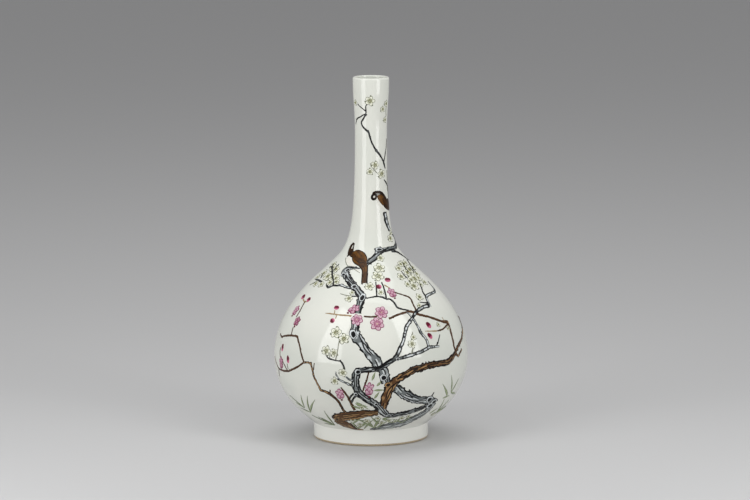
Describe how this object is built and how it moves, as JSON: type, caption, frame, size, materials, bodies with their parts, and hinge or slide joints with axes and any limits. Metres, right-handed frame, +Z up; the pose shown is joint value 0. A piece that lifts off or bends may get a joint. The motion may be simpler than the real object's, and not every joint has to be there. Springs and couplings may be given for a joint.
{
  "type": "bottle vase",
  "caption": "Long-necked round-bellied porcelain bottle vase on a foot ring, glazed and painted over the glaze in relief enamels with flowering plum, bamboo and birds.",
  "frame": {"origin": "centre of the foot ring on the surface that the vase stands on", "axes": "+Z up along the axis of the vase, the painted front faces -Y, +X to the right as seen from the front"},
  "size_m": [0.204, 0.2047, 0.38],
  "materials": {
    "bare_porcelain": "matte biscuit",
    "luting_slip": "matte biscuit",
    "clear_glaze": "glossy",
    "grey_bark_enamel": "glossy",
    "brown_bark_enamel": "glossy",
    "rose_enamel": "glossy",
    "crimson_enamel": "glossy",
    "white_petal_enamel": "glossy",
    "bamboo_green_enamel": "glossy",
    "bird_brown_enamel": "glossy"
  },
  "bodies": {
    "root": {"foot_section": "bare_porcelain", "lower_belly": "bare_porcelain", "upper_belly": "bare_porcelain", "neck": "bare_porcelain", "foot_seam_slip": "luting_slip", "belly_seam_slip": "luting_slip", "neck_seam_slip": "luting_slip", "outer_glaze": "clear_glaze", "inner_glaze": "clear_glaze", "base_glaze": "clear_glaze", "grey_root": "grey_bark_enamel", "grey_lower_branch": "grey_bark_enamel", "grey_trunk": "grey_bark_enamel", "grey_trunk_top": "grey_bark_enamel", "grey_right_branch": "grey_bark_enamel", "grey_right_twig": "grey_bark_enamel", "grey_shoulder_twig": "grey_bark_enamel", "thin_shoulder_twig": "grey_bark_enamel", "neck_branch": "grey_bark_enamel", "neck_twig": "grey_bark_enamel", "brown_trunk_foot": "brown_bark_enamel", "brown_trunk": "brown_bark_enamel", "brown_twig_left": "brown_bark_enamel", "brown_twig_foot": "brown_bark_enamel", "brown_twig_right": "brown_bark_enamel", "brown_twig_centre": "brown_bark_enamel", "brown_twig_far_left": "brown_bark_enamel", "brown_twig_shoulder": "brown_bark_enamel", "brown_twig_upper_left": "brown_bark_enamel", "back_twig": "brown_bark_enamel", "back_twig_left": "brown_bark_enamel", "pink_blossom_lower": "rose_enamel", "pink_blossom_upper": "rose_enamel", "pink_blossom_left_lower": "rose_enamel", "pink_blossom_left_upper": "rose_enamel", "pink_blossom_shoulder": "rose_enamel", "pink_blossom_low_left": "rose_enamel", "pink_blossom_low_centre": "rose_enamel", "pink_blossom_left_side": "rose_enamel", "bud_left_high": "crimson_enamel", "bud_left_low": "crimson_enamel", "bud_shoulder_left": "crimson_enamel", "bud_shoulder_right": "crimson_enamel", "bud_right_high": "crimson_enamel", "bud_right_low": "crimson_enamel", "bud_far_left_high": "crimson_enamel", "bud_far_left_low": "crimson_enamel", "white_blossom_shoulder": "white_petal_enamel", "white_blossom_right": "white_petal_enamel", "white_blossom_right_low": "white_petal_enamel", "white_blossom_left": "white_petal_enamel", "white_blossom_neck_high": "white_petal_enamel", "white_blossom_neck_low": "white_petal_enamel", "bamboo_left": "bamboo_green_enamel", "bamboo_left_low": "bamboo_green_enamel", "bamboo_centre": "bamboo_green_enamel", "bamboo_right": "bamboo_green_enamel", "bamboo_right_low": "bamboo_green_enamel", "lower_bird": "bird_brown_enamel", "upper_bird": "bird_brown_enamel"}
  },
  "joints": []
}
